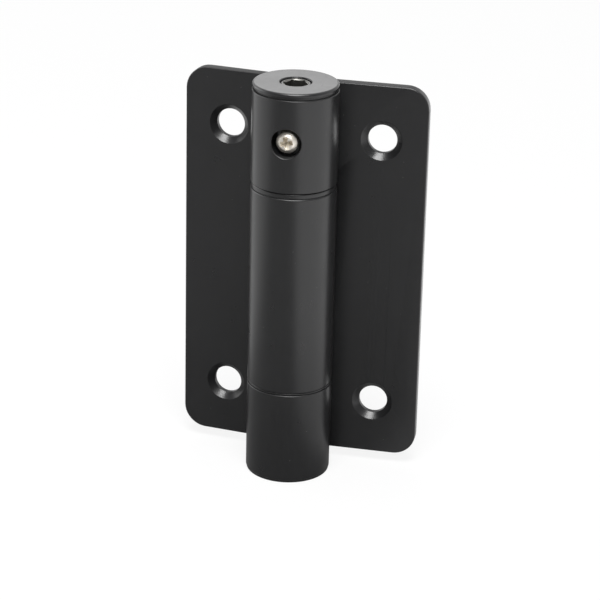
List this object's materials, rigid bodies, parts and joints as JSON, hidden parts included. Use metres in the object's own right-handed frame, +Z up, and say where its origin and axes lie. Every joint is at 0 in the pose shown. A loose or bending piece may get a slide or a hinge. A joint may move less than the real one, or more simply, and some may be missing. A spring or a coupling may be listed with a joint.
{
  "type": "spring loaded door hinge",
  "caption": "Black spring hinge: a flat leaf and a second leaf share one upright barrel with a torsion spring inside, a socketed tension adjuster on top and a lock screw behind a round window.",
  "frame": {"origin": "on the hinge axis, at the mid-height of the leaves", "axes": "+Z up the barrel; the frame leaf lies along +X with its countersunk face towards -Y; the door leaf lies towards -X and rests 7.4 degrees beyond flat"},
  "size_m": [0.056, 0.0228, 0.093],
  "materials": {
    "black_coated_steel": "satin",
    "nickel_plated_steel": "polished",
    "plain_steel": "satin",
    "spring_steel": "satin"
  },
  "bodies": {
    "frame": {"frame_leaf": "black_coated_steel", "top_cap": "black_coated_steel", "bottom_cap": "black_coated_steel", "tension_adjuster": "black_coated_steel", "lock_screw": "nickel_plated_steel", "thrust_washer": "plain_steel", "spring_collar": "plain_steel", "collar_pin": "plain_steel", "guide_rod": "plain_steel", "torsion_spring": "spring_steel", "bottom_spindle": "plain_steel", "retaining_ring": "spring_steel"},
    "door": {"door_leaf": "black_coated_steel", "upper_bush": "black_coated_steel", "lower_bush": "black_coated_steel", "spring_anchor": "plain_steel"}
  },
  "joints": [
    {"name": "door_swing", "type": "hinge", "parent": "frame", "child": "door", "pos_m": [0, 0, 0], "axis": [0, 0, 1], "range_deg": [0, 187.4], "stiffness_Nm_per_rad": 0.6, "springref_deg": -29.79, "deforming": ["torsion_spring"]}
  ]
}
